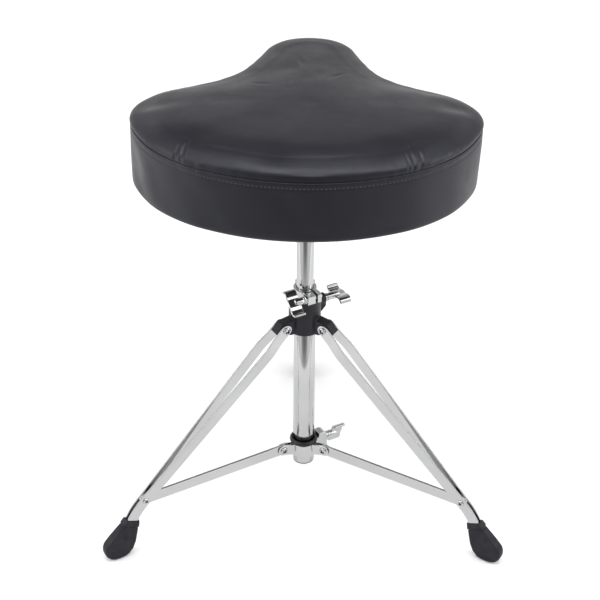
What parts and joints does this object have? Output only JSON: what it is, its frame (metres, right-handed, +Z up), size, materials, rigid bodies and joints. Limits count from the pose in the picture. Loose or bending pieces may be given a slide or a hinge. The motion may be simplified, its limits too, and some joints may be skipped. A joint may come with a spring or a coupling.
{
  "type": "drum throne",
  "caption": "Drummer's stool with a saddle-shaped padded seat on a height-adjustable post, held by a folding double-braced tripod with rubber feet.",
  "frame": {"origin": "on the floor, under the centre of the whole object's box; the post's axis stands at Y = -0.07025 m", "axes": "+Z up along the post, +Y towards the seat's narrow nose and along the third leg, +X to the sitter's right, who faces +Y"},
  "size_m": [0.5256, 0.4614, 0.6064],
  "materials": {
    "chrome": "bright chrome plate on steel",
    "zinc_steel": "dull zinc plate",
    "black_nylon": "satin moulded black nylon",
    "black_steel": "black powder coat",
    "black_plastic": "satin black",
    "rubber": "matt moulded black rubber",
    "vinyl": "black leatherette with a soft sheen, over foam",
    "plywood": "bare plywood",
    "dust_fabric": "thin black non-woven fabric"
  },
  "bodies": {
    "base": {"base_tube": "chrome", "hub_bush": "black_plastic", "leg_hub": "black_nylon", "tube_end_cap": "black_plastic"},
    "hub_wing_bolt": {"hub_wing_bolt": "chrome"},
    "post": {"post": "chrome", "post_end_plug": "black_plastic"},
    "memory_lock": {"memory_lock_left": "chrome", "memory_lock_right": "chrome", "memory_rear_bolt": "chrome"},
    "memory_wing_bolt": {"memory_wing_bolt": "chrome"},
    "seat": {"seat_cushion": "vinyl", "seat_board": "plywood", "dust_cover": "dust_fabric", "seat_bracket": "black_steel", "bracket_screw_1": "zinc_steel", "bracket_screw_2": "zinc_steel", "bracket_screw_3": "zinc_steel", "bracket_screw_4": "zinc_steel", "tee_nut_1": "zinc_steel", "tee_nut_2": "zinc_steel", "tee_nut_3": "zinc_steel", "tee_nut_4": "zinc_steel"},
    "seat_wing_bolt": {"seat_wing_bolt": "chrome"},
    "collar": {"lower_collar": "chrome", "collar_ring": "black_plastic", "clevis_bolt_1": "chrome", "clevis_bolt_2": "chrome", "clevis_bolt_3": "chrome"},
    "collar_wing_bolt": {"collar_wing_bolt": "chrome"},
    "leg_1": {"leg_1_bar_left": "chrome", "leg_1_bar_right": "chrome", "leg_1_brace_screw_left": "chrome", "leg_1_brace_screw_right": "chrome", "leg_1_pivot_bolt": "chrome", "foot_1": "rubber"},
    "brace_1": {"brace_1": "chrome"},
    "leg_2": {"leg_2_bar_left": "chrome", "leg_2_bar_right": "chrome", "leg_2_brace_screw_left": "chrome", "leg_2_brace_screw_right": "chrome", "leg_2_pivot_bolt": "chrome", "foot_2": "rubber"},
    "brace_2": {"brace_2": "chrome"},
    "leg_3": {"leg_3_bar_left": "chrome", "leg_3_bar_right": "chrome", "leg_3_brace_screw_left": "chrome", "leg_3_brace_screw_right": "chrome", "leg_3_pivot_bolt": "chrome", "foot_3": "rubber"},
    "brace_3": {"brace_3": "chrome"}
  },
  "joints": [
    {"name": "height_slide", "type": "slide", "parent": "base", "child": "post", "axis": [0, 0, 1], "range_m": [0, 0.12]},
    {"name": "memory_lock_slide", "type": "slide", "parent": "post", "child": "memory_lock", "axis": [0, 0, 1], "range_m": [0, 0.1]},
    {"name": "seat_swivel", "type": "hinge", "parent": "post", "child": "seat", "pos_m": [0, -0.07025, 0.48], "axis": [0, 0, 1], "continuous": true},
    {"name": "hub_wing_bolt_turn", "type": "hinge", "parent": "base", "child": "hub_wing_bolt", "pos_m": [0.02499, -0.05696, 0.31], "axis": [0.8829, 0.4695, 0], "continuous": true},
    {"name": "memory_wing_bolt_turn", "type": "hinge", "parent": "memory_lock", "child": "memory_wing_bolt", "pos_m": [0.00141, -0.09272, 0.3297], "axis": [-0.8829, -0.4695, 0], "continuous": true},
    {"name": "seat_wing_bolt_turn", "type": "hinge", "parent": "seat", "child": "seat_wing_bolt", "pos_m": [0.00072, -0.04296, 0.472], "axis": [0.0262, 0.9997, 0], "continuous": true},
    {"name": "collar_wing_bolt_turn", "type": "hinge", "parent": "collar", "child": "collar_wing_bolt", "pos_m": [0.02884, -0.0536, 0.0825], "axis": [0.866, 0.5, 0], "continuous": true},
    {"name": "leg_1_fold", "type": "hinge", "parent": "base", "child": "leg_1", "pos_m": [0, -0.03805, 0.2826], "axis": [-1, 0, 0], "range_deg": [0, 42.66]},
    {"name": "leg_2_fold", "type": "hinge", "parent": "base", "child": "leg_2", "pos_m": [-0.02789, -0.08635, 0.2826], "axis": [0.5, -0.866, 0], "range_deg": [0, 42.68]},
    {"name": "leg_3_fold", "type": "hinge", "parent": "base", "child": "leg_3", "pos_m": [0.02789, -0.08635, 0.2826], "axis": [0.5, 0.866, 0], "range_deg": [0, 42.68]},
    {"name": "collar_slide", "type": "slide", "parent": "base", "child": "collar", "axis": [0, 0, 1], "range_m": [0, 0.11643]},
    {"name": "brace_1_fold", "type": "hinge", "parent": "collar", "child": "brace_1", "pos_m": [0, -0.03775, 0.0833], "axis": [-1, 0, 0], "range_deg": [0, 85.02]},
    {"name": "brace_2_fold", "type": "hinge", "parent": "collar", "child": "brace_2", "pos_m": [-0.02815, -0.0865, 0.0833], "axis": [0.5, -0.866, 0], "range_deg": [0, 85.02]},
    {"name": "brace_3_fold", "type": "hinge", "parent": "collar", "child": "brace_3", "pos_m": [0.02815, -0.0865, 0.0833], "axis": [0.5, 0.866, 0], "range_deg": [0, 85.02]}
  ],
  "couplings": [
    {"joint": "leg_2_fold", "follows": "leg_1_fold", "ratio": 1},
    {"joint": "leg_3_fold", "follows": "leg_1_fold", "ratio": 1},
    {"joint": "collar_slide", "follows": "leg_1_fold", "m_per_rad": 0.15625},
    {"joint": "brace_1_fold", "follows": "leg_1_fold", "ratio": 1.9919},
    {"joint": "brace_2_fold", "follows": "leg_1_fold", "ratio": 1.9919},
    {"joint": "brace_3_fold", "follows": "leg_1_fold", "ratio": 1.9919}
  ]
}
